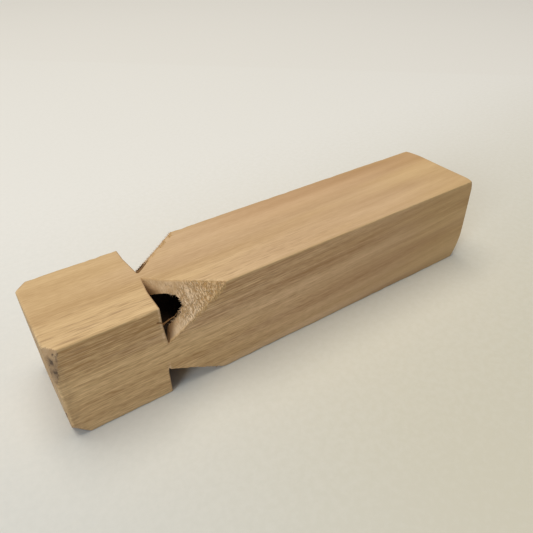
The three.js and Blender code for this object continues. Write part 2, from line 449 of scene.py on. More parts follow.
def sawn(points, sizes):
    """Moves points to where the saw really cut. Near the mouth they go back by a share that grows as a square
    from the far side to the near side. On the near side the wall of the upper notch leans back towards its
    foot, and the notch under it sits further forward. Between the upper notches the walls stand back, and
    both notches go too far across, by shares that fall evenly to both sides."""
    x, y, z = points[..., 0], points[..., 1], points[..., 2]
    near = unit(0.5 - y / sizes.width)
    mouth = sizes.mouth_skew * near * near * (1 - smooth(x, 0, 4.5 * MM))
    behind, across = x - sizes.wall, y / MM
    before = smooth(behind, -14 * MM, -2 * MM) * (1 - smooth(y, -9 * MM, 3 * MM))
    lean = sizes.wall_lean * (1 - smooth(z, 3 * MM, 14 * MM)) * smooth(z, -7 * MM, 3 * MM)
    lean = lean * (1 - smooth(behind, 2 * MM, 12 * MM))
    under = sizes.notch_skew * (1 - smooth(z, -7 * MM, 2 * MM)) * (1 - smooth(behind, 22 * MM, 40 * MM))
    high = smooth(z, -4 * MM, 10 * MM)
    lag = sizes.middle_lag * tent(across, -9.7, -1.7, 1.9, 12.9) * high
    lag = lag * smooth(behind, -10 * MM, -1.5 * MM) * (1 - smooth(behind, 2 * MM, 12 * MM))
    over = high * smooth(behind, -6 * MM, -0.5 * MM) * (1 - unit(behind / (9.6 * MM)))
    near_over = sizes.near_overcut * tent(across, -12, -1.7, -1.7, 1.9)
    far_over = sizes.far_overcut * tent(across, -1.7, 1.9, 1.9, 22)
    moved = points.copy()
    moved[..., 0] += mouth + before * (lean - under) + lag
    moved[..., 1] += over * (near_over - far_over)
    return moved


def to_place(points):
    """From distances behind the mouth and about the axis to the part's own frame."""
    return points + np.array((MOUTH_X, 0.0, AXIS_Z))


def block_mesh(sizes):
    """The notched block without its bores: rings from the middle of the mouth end to that of the tail."""
    soft, wall = sizes.mouth_softness, sizes.wall
    facets_stop, ramp_stop, tail_run = 7 * MM, 60.5 * MM, 6 * MM
    tail_start = sizes.length - tail_run
    quarter = np.linspace(0, math.pi / 2, 7)[:-1]
    mouth = np.concatenate([
        soft * (1 - np.cos(quarter)), spaced(soft, facets_stop, 0.5 * MM),
        spaced(facets_stop, wall - sizes.wall_softness, 1.8 * MM)])
    tail = np.concatenate([
        wall + np.array((0.0, 0.08)) * MM, spaced(wall + 0.2 * MM, wall + 3.8 * MM, 0.16 * MM),
        spaced(wall + 3.8 * MM, ramp_stop, 0.36 * MM), spaced(ramp_stop, tail_start, 2.8 * MM),
        tail_start + tail_run * np.sin(np.linspace(0, math.pi / 2, 19))])
    before, before_kind = outer_rings(sizes, mouth, cut=False)
    full, _ = outer_rings(sizes, np.array((wall,)), cut=False)
    behind, behind_kind = outer_rings(sizes, tail, cut=True)
    walls, wall_kind = wall_rings(sizes, full[0], behind[0])
    caps = [cap_rings(rim, np.array((rim[0, 0], 0.0, 0.0)), 0.06, 12) for rim in (before[0], behind[-1])]
    ends = np.full(caps[0].shape[:2], END_GRAIN)
    behind_kind[-1] = END_GRAIN
    rings = np.concatenate([caps[0], before, walls, behind, caps[1][::-1]])
    kinds = np.concatenate([ends, before_kind, wall_kind, behind_kind, ends])
    return closed_mesh("block_surface", to_place(sawn(rings, sizes)), kinds, END_GRAIN)


def bore_centre(corner, sizes):
    """The bore's axis as distances from the block's axis."""
    half = np.array((sizes.width / 2, sizes.height / 2))
    return np.array((corner.y, corner.z)) * (half - sizes.bore_inset)


def bore_mesh(corner, sizes):
    """What the drill takes out: a cylinder with a pointed end whose radius wanders by noise under the ramp,
    where the fibres tear."""
    depth, radius, drill_half_angle = corner.depth * MM, sizes.bore_radius, math.radians(59)
    low, high = sizes.wall + 0.3 * MM, sizes.wall + 14 * MM
    x = np.concatenate([
        spaced(-2 * MM, low, 4 * MM), spaced(low, high, 0.36 * MM), spaced(high, depth, 5 * MM), [depth]])
    angle = np.linspace(0, math.tau, 72, endpoint=False)[None, :]
    column = x[:, None]
    ring = around_axis(column, radius, angle)
    loose = smooth(column, low + 5 * MM, low + 8 * MM) * (1 - smooth(column, high - 3 * MM, high))
    seed = 20 + CORNERS.index(corner)
    rough = 0.8 * wave_noise(ring, 1.7 * MM, seed) + 0.5 * wave_noise(ring, 0.9 * MM, seed + 10)
    ring[..., 1:] *= (1 + sizes.bore_tear * rough * loose / radius)[..., None]
    ring[..., 1:] += bore_centre(corner, sizes)
    tip = ring[-1].mean(0) + np.array((radius / math.tan(drill_half_angle), 0, 0))
    cone = tip + (ring[-1] - tip) * np.array((0.66, 0.33, 0.02))[:, None, None]
    rings = np.concatenate([ring, cone])
    kinds = np.full(rings.shape[:2], BORE_WALL)
    return closed_mesh(f"bore_{corner.name}", to_place(rings), kinds, BORE_WALL)


def plug_mesh(corner, sizes, block):
    """A dowel with one flat: its section is an arc closed by a chord, swept along the bore. The rings shrink
    in a quarter circle at both ends and close to the middle of the section."""
    flat = block.bore_radius - sizes.windway
    open_angle = math.acos(flat / sizes.radius)
    arc = np.linspace(open_angle, math.tau - open_angle, 72)
    chord = np.linspace(1, -1, 14)[1:-1] * math.sin(open_angle) * sizes.radius
    outward = np.concatenate([sizes.radius * np.cos(arc), np.full(chord.shape, flat)])
    across = np.concatenate([sizes.radius * np.sin(arc), -chord])
    soft, length = sizes.end_softness, block.wall
    turn = np.linspace(0, math.pi / 2, 5)
    gone, shrunk = soft * (1 - np.sin(turn)), soft * (1 - np.cos(turn))
    x = np.concatenate([gone[::-1], spaced(soft, length - soft, 3 * MM)[1:], length - gone])
    inset = np.concatenate([shrunk[::-1], np.zeros(len(x) - 2 * len(turn)), shrunk])
    share = 1 - inset[:, None] / sizes.radius
    turned = math.atan2(corner.z, corner.y)
    y = outward * math.cos(turned) - across * math.sin(turned)
    z = outward * math.sin(turned) + across * math.cos(turned)
    ring = np.stack([x[:, None] + 0 * y, y * share, z * share], -1)
    ring[..., 1:] += bore_centre(corner, block)
    caps = [cap_rings(rim, rim.mean(0), 0.12, 7) for rim in (ring[0], ring[-1])]
    rings = sawn(np.concatenate([caps[0], ring, caps[1][::-1]]), block)
    return closed_mesh(f"fipple_{corner.name}", to_place(rings))


# Torn fibres and splinters

def ramp_point(corner, sizes, x, share):
    """A point of a ramp: x from the mouth and the share of the way from the wide face to the side."""
    depth, share_y, share_z, _ = notch_sizes(corner, sizes)
    rise = depth - ramp_height(corner, sizes, x, share)
    y = corner.y * (sizes.width / 2 - rise / share_y * (1 - share))
    z = corner.z * (sizes.height / 2 - rise / share_z * share)
    return np.stack([x, y, z], -1)


def fibre_tubes(roots, tips, bends, thickness):
    """Tapering three-sided fibres as one mesh's points and faces. Each centre line is a quadratic curve from
    root to tip through a bend, with the section's corners set round it on two crossed directions."""
    count, steps, sides = len(roots), 4, 3
    t = np.linspace(0, 1, steps)[None, :, None]
    line = roots[:, None] * (1 - t) ** 2 + 2 * bends[:, None] * t * (1 - t) + tips[:, None] * t ** 2
    along = normalised(tips - roots)
    helper = np.where(np.abs(along[:, 2:3]) < 0.8, np.array((0.0, 0.0, 1.0)), np.array((0.0, 1.0, 0.0)))
    first = normalised(np.cross(along, helper))
    second = np.cross(along, first)
    turn = np.linspace(0, math.tau, sides, endpoint=False)[None, :, None]
    taper = (1 - 0.75 * t[..., 0]) * thickness[:, None]
    spoke = first[:, None] * np.cos(turn) + second[:, None] * np.sin(turn)
    points = line[:, :, None] + spoke[:, None] * taper[..., None, None]
    caps = np.array(((0, 2, 1), (0, 1, 2))) + np.array(((0,), ((steps - 1) * sides,)))
    offset = (np.arange(count) * steps * sides)[:, None, None]
    quads = (grid_faces(steps, sides)[None] + offset).reshape(-1, 4)
    return points.reshape(-1, 3), quads.tolist() + (caps[None] + offset).reshape(-1, 3).tolist()


def fibre_mesh(corner, sizes, block):
    """Fibres of one notch: on the open ramp, leaning back over it, and along the bore's torn edge, leaning
    into the bore. On a lower ramp none is rooted closer to the table than its own length."""
    draw = np.random.default_rng(100 + CORNERS.index(corner))
    clear_of_bore, rooted = 0.25 * MM, 0.12 * MM
    depth, share_y, share_z, run = notch_sizes(corner, block)
    outward = np.array((0.0, corner.y * share_y, corner.z * share_z))
    across = np.array((0.0, -outward[2], outward[1]))
    backward = np.array((-0.55, 0.0, 0.0))
    centre = bore_centre(corner, block)
    tries = sizes.on_ramp * 3
    x = block.wall + run * draw.uniform(0.16, 0.97, tries) ** 0.85
    roots = ramp_point(corner, block, x, draw.uniform(0.08, 0.90, tries))
    off_axis = np.linalg.norm(roots[:, 1:] - centre, axis=1)
    raised = roots[:, 2] > sizes.length - block.height / 2
    roots = roots[raised & (off_axis > block.bore_radius + clear_of_bore)][:sizes.on_ramp]
    facing = math.atan2(corner.z, corner.y) - corner.y * corner.z * draw.uniform(-0.75, 1.0, sizes.at_lip)
    rim = centre + block.bore_radius * np.stack([np.cos(facing), np.sin(facing)], -1)
    over = (rim * outward[1:]).sum(1) - (block.width / 2 * share_y + block.height / 2 * share_z - depth)
    lip_x = block.wall + run * unit((over + 0.35 * MM) / depth)
    lips = np.concatenate([lip_x[:, None], rim], 1)[over > 0.5 * MM]
    inwards = normalised(np.concatenate([np.zeros((len(lips), 1)), centre - lips[:, 1:]], 1))
    starts = np.concatenate([roots, lips])
    leans = np.concatenate([
        np.broadcast_to(backward + 0.32 * outward, roots.shape), backward + 0.5 * inwards + 0.2 * outward])
    total = len(starts)
    reach = (sizes.length * draw.uniform(0.3, 1.0, total))[:, None]
    leans = leans + 0.45 * draw.normal(size=(total, 3)) * np.array((1.0, 0.7, 0.7))
    leans = normalised(leans + across * draw.normal(0, 0.35, (total, 1)))
    sunk = starts - rooted * outward + np.array((0.1 * MM, 0, 0))
    tips = starts + leans * reach
    bends = starts + leans * reach * 0.55 + outward * reach * 0.22
    thickness = sizes.thickness * draw.uniform(0.6, 1.2, total)
    thickness[len(roots):] *= 2.1
    points, faces = fibre_tubes(sunk, tips, bends, thickness)
    return to_place(sawn(points, block)), faces


def splinter_mesh(block):
    """The long splinters: three across the foot of the near upper bore, one on the wall beside it, and one
    along the edge of the far upper notch."""
    near, far = CORNERS[1], CORNERS[0]
    behind = np.array((0.3, 5.2, 0.5, 3.6, 4.6, 7.4)) * MM
    share = np.array((0.735, 0.715, 0.76, 0.70, 0.74, 0.66))
    lifted = ramp_point(near, block, block.wall + behind, share)
    outward = np.array((0.0, -1.0, 1.0)) / math.sqrt(2)
    crack = np.array(((-1.8, -0.05, 13.9), (0.3, -0.05, 12.6))) * MM
    crack += np.array((block.wall, -block.width / 2, 0.0))
    edge = ramp_point(far, block, block.wall + np.array((0.2, 6.5)) * MM, np.array((0.0, 0.0)))
    edge += np.array((0.0, 0.10, 0.0)) * MM
    starts = np.concatenate([lifted[::2] + 0.15 * MM * outward, crack[:1], edge[:1]])
    tips = np.concatenate([lifted[1::2] + 0.35 * MM * outward, crack[1:], edge[1:]])
    bends = (starts + tips) / 2 + 0.2 * MM * outward
    thickness = np.array((0.38, 0.16, 0.13, 0.26, 0.38)) * MM
    points, faces = fibre_tubes(starts, tips, bends, thickness)
    return to_place(sawn(points, block)), faces


# Objects

def new_object(name, data):
    """An object in the scene's own collection."""
    made = bpy.data.objects.new(name, data)
    bpy.context.scene.collection.objects.link(made)
    return made


def piece(name, mesh, nodes=()):
    """Puts a finished mesh into the scene as a piece that rides on the whistle."""
    thing = new_object(name, mesh)
    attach(thing, BODY)
    if nodes:
        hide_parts(*nodes)


def loose_piece(name, points, faces, material):
    """A piece of separate fibres in one mesh."""
    mesh = bpy.data.meshes.new(name)
    mesh.from_pydata(points.tolist(), [], faces)
    mesh.materials.append(material)
    weld(mesh, 1e-7)
    piece(name, mesh)


def shade(mesh, angle):
    """Smooth shading with crisp edges where faces meet at more than an angle in degrees."""
    mesh.polygons.foreach_set("use_smooth", np.ones(len(mesh.polygons), bool))
    mesh.set_sharp_from_angle(angle=math.radians(angle))
    mesh.update()


# Shader nodes

def feed(tree, socket, given):
    """Links a value to a socket, or sets the socket to a number or a colour."""
    if isinstance(given, Value):
        tree.links.new(given.output, socket)
    else:
        socket.default_value = given


def add(tree, kind, inputs=None, **settings):
    """Adds a node, sets its options and fills its inputs."""
    made = tree.nodes.new(kind)
    for key, setting in settings.items():
        setattr(made, key, setting)
    for key, given in (inputs or {}).items():
        feed(tree, made.inputs[key], given)
    return made


def value(tree, kind, inputs=None, output=0, **settings):
    """Adds a node and gives one of its outputs."""
    return Value(tree, add(tree, kind, inputs, **settings).outputs[output])


class Value:
    """A node's output that can be used in sums like a number."""

    def __init__(self, tree, output):
        self.tree, self.output = tree, output

    def maths(self, operation, other=0.0):
        """A Math node on this value and another, or on this value alone."""
        return value(self.tree, "ShaderNodeMath", {0: self, 1: other}, operation=operation)

    __add__ = partialmethod(maths, "ADD")
    __sub__ = partialmethod(maths, "SUBTRACT")
    __mul__ = partialmethod(maths, "MULTIPLY")
    __truediv__ = partialmethod(maths, "DIVIDE")
    __pow__ = partialmethod(maths, "POWER")
    __abs__ = partialmethod(maths, "ABSOLUTE")
    higher = partialmethod(maths, "MAXIMUM")
    lower = partialmethod(maths, "MINIMUM")
    fraction = partialmethod(maths, "FRACT")

    def __rsub__(self, other):
        return value(self.tree, "ShaderNodeMath", {0: other, 1: self}, operation="SUBTRACT")

    def clamped(self):
        """This value, kept between 0 and 1."""
        return value(self.tree, "ShaderNodeClamp", {"Value": self})

    def ramp(self, low, high, to_low=0.0, to_high=1.0):
        """Goes smoothly from to_low at low to to_high at high, and stays inside them."""
        ends = {"Value": self, "From Min": low, "From Max": high, "To Min": to_low, "To Max": to_high}
        return value(self.tree, "ShaderNodeMapRange", ends, interpolation_type="SMOOTHSTEP", clamp=True)


def mapped(tree, place, scale, turn=(0.0, 0.0, 0.0)):
    """A vector turned and then scaled through a Mapping node."""
    return value(tree, "ShaderNodeMapping", {"Vector": place, "Scale": scale, "Rotation": turn})


def noise(tree, place, scale, detail=2.0, roughness=0.5, distortion=0.0, turn=(0.0, 0.0, 0.0)):
    """Noise that is stretched along each axis by its own scale."""
    return value(tree, "ShaderNodeTexNoise", {
        "Vector": mapped(tree, place, scale, turn), "Scale": 1.0, "Detail": detail, "Roughness": roughness,
        "Distortion": distortion})


def vector_maths(tree, operation, first, second, output=0):
    """One Vector Math node's output."""
    return value(tree, "ShaderNodeVectorMath", {0: first, 1: second}, output, operation=operation)


def parts(tree, place):
    """The x, y and z of a vector."""
    outputs = add(tree, "ShaderNodeSeparateXYZ", {"Vector": place}).outputs
    return [Value(tree, output) for output in outputs]


def blend(tree, share, first, second, blend_type="MIX"):
    """One colour Mix node's output."""
    made = add(tree, "ShaderNodeMix", data_type="RGBA", blend_type=blend_type)
    sockets = {socket.identifier: socket for socket in made.inputs}
    for name, given in (("Factor_Float", share), ("A_Color", first), ("B_Color", second)):
        feed(tree, sockets[name], given)
    return Value(tree, next(output for output in made.outputs if output.identifier == "Result_Color"))


SOCKET_KINDS = {"vector": "NodeSocketVector", "value": "NodeSocketFloat", "colour": "NodeSocketColor"}


def new_group(name, inputs, outputs):
    """An empty shader node group with named sockets, the values of its inputs and its output sockets. Inputs
    and outputs are given as names with their kinds."""
    group = bpy.data.node_groups.new(name, "ShaderNodeTree")
    for side, sockets in (("INPUT", inputs), ("OUTPUT", outputs)):
        for label, kind in sockets.items():
            group.interface.new_socket(label, in_out=side, socket_type=SOCKET_KINDS[kind])
    entry, leave = group.nodes.new("NodeGroupInput"), group.nodes.new("NodeGroupOutput")
    return group, {label: Value(group, entry.outputs[label]) for label in inputs}, leave.inputs


def placed(tree, group, **inputs):
    """The outputs of a group placed in a material, with its inputs filled."""
    made = add(tree, "ShaderNodeGroup", node_tree=group)
    for label, given in inputs.items():
        feed(tree, made.inputs[label], given)
    return {output.name: Value(tree, output) for output in made.outputs}


def new_material(name, roughness=0.7):
    """A material with its node tree, its shader's inputs and the Object coordinates."""
    material = bpy.data.materials.new(name)
    material.use_nodes = True
    tree = material.node_tree
    shader = tree.nodes["Principled BSDF"].inputs
    shader["Roughness"].default_value = roughness
    shader["Specular IOR Level"].default_value = 0.35
    return material, tree, shader, value(tree, "ShaderNodeTexCoord", output="Object")


def raise_surface(tree, shader, height, strength, distance):
    """Feeds a height to the shader's normal through a Bump node."""
    feed(tree, shader["Normal"], value(
        tree, "ShaderNodeBump", {"Height": height, "Strength": strength, "Distance": distance}, "Normal"))


# Finishes of the wood

# Turn of the growth layers about the block's length, and of the scratches that sanding left
LAYER_TILT = math.radians(-27)
SANDING_TURN = (0.0, math.radians(-31), math.radians(-27))

# Shifts of the wood's hue, the colour of worn edges that also carries a painted highlight, and the painted
# shade beside the notches' walls, in the saw's slots and in the bores
YELLOWER = (1.00, 0.985, 0.865, 1.0)
PINKER = (0.99, 0.978, 0.97, 1.0)
REDDER = (1.02, 0.985, 0.965, 1.0)
# Worn edges mixed with a painted highlight along the long edges
EDGE_WEAR_AND_HIGHLIGHT = (0.560, 0.370, 0.165, 1.0)
# Painted shade: brown beside the notches' walls, and nearly black in the saw's slots and the bores
PAINTED_WALL_SHADE = (0.210, 0.110, 0.042, 1.0)
PAINTED_DEEP_SHADE = (0.020, 0.012, 0.006, 1.0)
RAMP_EDGE = (0.640, 0.390, 0.165, 1.0)
WARM_CREST = (0.740, 0.490, 0.250, 1.0)
WARM_GAP = (0.440, 0.240, 0.080, 1.0)
SPLINTER = (0.240, 0.120, 0.042, 1.0)

# Centres and radii of the stains on the near upper corner of the mouth end
STAIN_SPOTS = (
    ((MOUTH_X + 1.7 * MM, -17.4 * MM, 33.4 * MM), 2.7 * MM),
    ((MOUTH_X + 1.5 * MM, -18.2 * MM, 29.6 * MM), 2.4 * MM),
    ((MOUTH_X + 3.1 * MM, -18.4 * MM, 35.8 * MM), 1.2 * MM),
)


def grain_group():
    """Long grain. The place is turned so that one axis crosses the growth layers, which rise more and more
    towards the tail, and then stretched along the block for each kind of mark: bands, streaks and fine lines,
    and short dark pores that crowd in one corner of the mouth end. The sides show more figure than the wide
    faces. Painted shade darkens the upper half of the near side, most towards the mouth, and the lower part
    of both sides from the middle towards the tail. Slanting scratches are left by the sanding."""
    group, given, result = new_group(
        "long grain",
        {"Place": "vector", "Pale": "colour", "Deep": "colour", "Pore": "colour", "Pores": "value",
         "Contrast": "value"},
        {"Colour": "colour", "Height": "value", "Roughness": "value"})
    centred = vector_maths(group, "SUBTRACT", given["Place"], (0.0, 0.0, AXIS_Z))
    along, y, z = parts(group, centred)
    rise = (along + 0.05).higher(0.0) ** 2.0 * 0.28
    shift = value(group, "ShaderNodeCombineXYZ", {1: rise * 0.6, 2: rise})
    growth = mapped(group, vector_maths(group, "SUBTRACT", centred, shift), (1, 1, 1), (LAYER_TILT, 0, 0))
    corner = (z - y) * 0.707
    figure = (abs(y) - abs(z)).ramp(-1 * MM, 1 * MM) * along.ramp(0.0, 90 * MM, 1.0, 0.4)
    clear = along.ramp(-70 * MM, 60 * MM, 1.0, 0.30)
    lined = corner.ramp(4 * MM, 19 * MM, 0.55, 1.1)

    band = noise(group, growth, (5, 170, 200), 0.0)
    streak = noise(group, growth, (12, 620, 720), 1.0)
    fine = noise(group, growth, (45, 2000, 2300), 2.0, 0.6)
    scratch = noise(group, given["Place"], (300, 2200, 2200), 1.0, turn=SANDING_TURN)
    finer = (scratch - 0.5) * 0.75 + (fine - 0.5) * lined
    detail = finer * clear * 0.58 + (streak - 0.5) * lined * 0.25
    strength = figure * 0.38 + along.ramp(-60 * MM, 60 * MM, 0.58, 0.72)
    # Painted shade: the upper half of the near side, and the lower part of both sides towards the tail
    upper_side_shade = z.ramp(1 * MM, 13 * MM) * y.ramp(0.0, -6 * MM) * along.ramp(-72 * MM, -32 * MM, 0.30, 0.15)
    foot = z.ramp(-6 * MM, -15 * MM) * along.ramp(0.0, 45 * MM, 0.0, 0.3)
    rubbed = corner.ramp(17 * MM, 23 * MM) * (1 - figure) * along.ramp(-45 * MM, 15 * MM, -0.16, 0.0)
    ruddy = y.ramp(0.0, 14 * MM) * z.ramp(14 * MM, 18 * MM) * along.ramp(-40 * MM, 10 * MM)
    depth = (band - 0.5) * strength + detail * (figure * 1.6 + 1.0)
    depth = depth + (upper_side_shade + foot) * figure + rubbed + ruddy * 0.15
    wood = blend(group, (depth * given["Contrast"] + 0.5).clamped(), given["Pale"], given["Deep"])
    hue = noise(group, growth, (9, 90, 130), 1.0)
    hue = hue + along.ramp(-95 * MM, 0.0, -0.35, 0.2) - along.ramp(30 * MM, 90 * MM, 0.0, 0.45)
    tint = blend(group, hue.ramp(0.25, 0.75), YELLOWER, PINKER)
    tint = blend(group, figure.higher(ruddy), tint, REDDER, "MULTIPLY")
    wood = blend(group, 1.0, wood, tint, "MULTIPLY")

    dash = noise(group, growth, (130, 2600, 3600), 1.0)
    cluster = noise(group, growth, (14, 300, 420), 1.0)
    crowd = corner.ramp(11 * MM, 23 * MM, 0.1, 0.85) * cluster.ramp(0.35, 0.55, 0.3, 1.0)
    pore = dash.ramp(0.52, 0.68) * crowd * along.ramp(-45 * MM, 60 * MM, 1.0, 0.1)
    share = (pore * given["Pores"]).clamped()
    feed(group, result["Colour"], blend(group, share, wood, given["Pore"]))
    feed(group, result["Height"], (finer - pore) * 0.6 + streak * 0.3)
    feed(group, result["Roughness"], fine.ramp(0.2, 0.8, 0.62, 0.80))
    return group


def fuzz_group():
    """Torn fibres: wiggly strands across the grain, pale on their crests and brown in the gaps, over a finer
    fuzz. Amount is how rough the place is."""
    group, given, result = new_group(
        "torn fibres", {"Place": "vector", "Crest": "colour", "Gap": "colour", "Amount": "value"},
        {"Colour": "colour", "Height": "value"})
    place, amount = given["Place"], given["Amount"]
    strand = noise(group, place, (3200, 760, 760), 1.0, 0.5, 0.9)
    hatch = noise(group, place, (4400, 450, 450), 1.0, 0.5, 0.3)
    speck = noise(group, place, (5200, 4200, 4200), 1.0)
    soft = noise(group, place, (170, 220, 220))
    height = strand.ramp(0.36, 0.62) * amount + hatch * 0.5 + speck * 0.4
    crest = height + (soft - 0.5) * 0.9 - (amount * 0.27 + 0.25)
    feed(group, result["Colour"], blend(group, crest.ramp(-0.22, 1.22), given["Gap"], given["Crest"]))
    feed(group, result["Height"], height)
    return group


def end_group():
    """End grain: curved growth rings about a pith outside the block, with dots for the cut pores and a soft
    mottle. Spacing is the width of a ring."""
    group, given, result = new_group(
        "end grain", {"Place": "vector", "Pale": "colour", "Deep": "colour", "Spacing": "value"},
        {"Colour": "colour", "Height": "value"})
    place = given["Place"]
    _, y, z = parts(group, place)
    layer = (y * 0.82 + z * 0.57 - y * y * 6.0) / given["Spacing"]
    ring = (layer + noise(group, place, (30, 120, 120)) * 0.8).fraction()
    dots = noise(group, place, (300, 3000, 3000), 2.0, 0.6)
    blur = noise(group, place, (120, 500, 500))
    dark = ring.ramp(0.2, 0.95) * 0.45 + dots.ramp(0.50, 0.72, 0.0, 0.6) + (blur - 0.5) * 0.6
    feed(group, result["Colour"], blend(group, dark.clamped(), given["Pale"], given["Deep"]))
    feed(group, result["Height"], 1.0 - dots)
    return group


def wear_group(sizes):
    """Masks of use and light, most broken up by noise: Edge along the block's long edges, which carries their
    wear and a painted highlight, Burr along the notches' walls, and Stain in a film and a few spots at the
    corner of the mouth end that is held."""
    group, given, result = new_group(
        "handling", {"Place": "vector"}, {"Edge": "value", "Burr": "value", "Stain": "value"})
    place = given["Place"]
    x, y, z = parts(group, place)
    out_y = abs(y)
    reach = out_y + abs(z - AXIS_Z)
    limit = (sizes.width + sizes.height) / 2
    feed(group, result["Edge"], reach.ramp(limit - 1.6 * MM, limit - 0.3 * MM))
    from_wall = abs(x - (MOUTH_X + sizes.wall - 0.3 * MM))
    burr = from_wall.ramp(0.8 * MM, 0.2 * MM) * noise(group, place, (300, 700, 700)).ramp(0.35, 0.6)
    burr = burr * out_y.ramp(18.3 * MM, 18.8 * MM) * reach.ramp(limit - 15.5 * MM, limit - 13 * MM)
    feed(group, result["Burr"], burr)
    uneven = noise(group, place, (700, 700, 600), 2.0, 0.6) - 0.5
    film = y.ramp(-14 * MM, -18 * MM) * z.ramp(36 * MM, 31 * MM) * uneven.ramp(-0.2, 0.2, 0.1, 0.4)
    film = film * x.ramp(MOUTH_X + 6 * MM, MOUTH_X + 2 * MM)
    spots = []
    for spot, radius in STAIN_SPOTS:
        away = vector_maths(group, "DISTANCE", place, spot, "Value") + uneven * (7 * MM)
        spots.append(away.ramp(radius, -0.4 * radius))
    feed(group, result["Stain"], (reduce(Value.higher, spots) + film).clamped())
    return group


def long_grain_material(colours, grain, wear):
    """The block's planed faces, with their worn edges, which also carry a painted highlight, burrs and
    stains.
    """
    material, tree, shader, place = new_material("planed long grain")
    wood = placed(
        tree, grain, Place=place, Pale=colours.pale, Deep=colours.deep, Pore=colours.pore, Pores=0.6,
        Contrast=1.0)
    marks = placed(tree, wear, Place=place)
    # Wear and a painted highlight along the long edges
    shown = blend(tree, marks["Edge"] * 0.5, wood["Colour"], EDGE_WEAR_AND_HIGHLIGHT)
    shown = blend(tree, marks["Burr"] * 0.5, shown, colours.torn)
    feed(tree, shader["Base Color"], blend(tree, marks["Stain"] * 0.6, shown, colours.stain))
    feed(tree, shader["Roughness"], wood["Roughness"])
    raise_surface(tree, shader, wood["Height"], 0.35, 0.25 * MM)
    return material


def ramp_material(colours, sizes, fuzz):
    """The torn ramps. from_side is the distance across a ramp from the block's side: a smoother strip lies
    near the wide face, a rubbed one near the side, and painted shade beside the wall, brown in the hollow
    and around the saw's slot and black down in the slot."""
    material, tree, shader, place = new_material("torn ramp", 0.9)
    ramp_width, side_to_axis = 23.2 * MM, 11.8 * MM
    x, y, z = parts(tree, place)
    behind = x - (MOUTH_X + sizes.wall)
    _, share_y, share_z, _ = notch_sizes(CORNERS[1], sizes)
    out_y, out_z = abs(y), abs(z - AXIS_Z)
    from_side = out_z * share_y - out_y * share_z + side_to_axis
    shallow = behind.ramp(9 * MM, 20 * MM)
    rubbed = from_side.ramp(6 * MM, 2.5 * MM) * behind.ramp(12 * MM, 7 * MM) * 0.45
    calm = (from_side - 11.2 * MM).higher(0.0)
    gaps = blend(tree, shallow, colours.gap, WARM_GAP)
    torn = placed(
        tree, fuzz, Place=place, Crest=blend(tree, shallow, colours.torn, WARM_CREST),
        Gap=blend(tree, rubbed, gaps, colours.torn), Amount=(behind - calm).ramp(3 * MM, 11 * MM, 0.15, 1.0))
    # Painted shade: brown by the wall above the bore and around the saw's slot below it, black down in the
    # slot
    low = from_side.ramp(8.6 * MM, 7.2 * MM)
    hollow = ((ramp_width - from_side) * 0.64).lower(4 * MM).higher(0.05 * MM)
    high = (behind / hollow).ramp(1.35, 0.45, 0.0, 0.95) * (1.0 - low)
    beside = behind - (from_side * 0.38 + 0.65 * MM)
    painted_shade = beside.ramp(3.4 * MM, 0.5 * MM, 0.0, 0.9) * low + high
    shown = blend(tree, painted_shade, torn["Colour"], PAINTED_WALL_SHADE)
    shown = blend(tree, beside.ramp(0.2 * MM, -0.3 * MM) * low, shown, PAINTED_DEEP_SHADE)
    outer = out_y.higher(out_z).ramp(sizes.width / 2 - 0.8 * MM, sizes.width / 2 - 0.1 * MM) * 0.7
    feed(tree, shader["Base Color"], blend(tree, outer, shown, RAMP_EDGE))
    raise_surface(tree, shader, torn["Height"], 0.8, 0.3 * MM)
    return material


def end_material(colours, ends, wear):
    """The sanded ends and the notches' walls."""
    material, tree, shader, place = new_material("sanded end grain", 0.8)
    wood = placed(tree, ends, Place=place, Pale=colours.end, Deep=colours.deep, Spacing=3.4 * MM)
    marks = placed(tree, wear, Place=place)
    feed(tree, shader["Base Color"], blend(tree, marks["Stain"], wood["Colour"], colours.stain))
    raise_surface(tree, shader, wood["Height"], 0.5, 0.2 * MM)
    return material


def plain_grain_material(name, roughness, strength, distance, **wood):
    """A material that shows the long grain alone, in its own colours."""
    material, tree, shader, place = new_material(name, roughness)
    shown = placed(tree, bpy.data.node_groups["long grain"], Place=place, **wood)
    feed(tree, shader["Base Color"], shown["Colour"])
    raise_surface(tree, shader, shown["Height"], strength, distance)
    return material


# Steps

class WHISTLE_OT_block(bpy.types.Operator):
    """Makes the notched and drilled block and its wood"""

    bl_idname = "whistle.block"
    bl_label = "Make the block"

    def execute(self, context):
        sizes, colours = context.scene.whistle_block, context.scene.whistle_wood
        grain, wear = grain_group(), wear_group(sizes)
        materials = (
            long_grain_material(colours, grain, wear), ramp_material(colours, sizes, fuzz_group()),
            end_material(colours, end_group(), wear),
            # The bores' wall is painted nearly black as their shade
            plain_grain_material(
                "drilled bore", 0.95, 0.6, 0.3 * MM, Pale=colours.bore_shade, Deep=PAINTED_DEEP_SHADE,
                Pore=colours.stain, Pores=0.4, Contrast=0.8))
        whole = new_object("whole block", block_mesh(sizes))
        work = bmesh.new()
        for corner in CORNERS:
            work.from_mesh(bore_mesh(corner, sizes))
        bores = bpy.data.meshes.new("bores")
        work.to_mesh(bores)
        work.free()
        for material in materials:
            whole.data.materials.append(material)
            bores.materials.append(material)
        drill = new_object("drill", bores)
        cut = whole.modifiers.new("bores", "BOOLEAN")
        cut.object, cut.operation, cut.solver = drill, "DIFFERENCE", "EXACT"
        context.view_layer.update()
        finished = bpy.data.meshes.new_from_object(whole.evaluated_get(context.evaluated_depsgraph_get()))
        bpy.data.objects.remove(drill)
        bpy.data.objects.remove(whole)
        shade(finished, 38)
        piece("whistle_block", finished, ["whistle_body"])
        return {"FINISHED"}


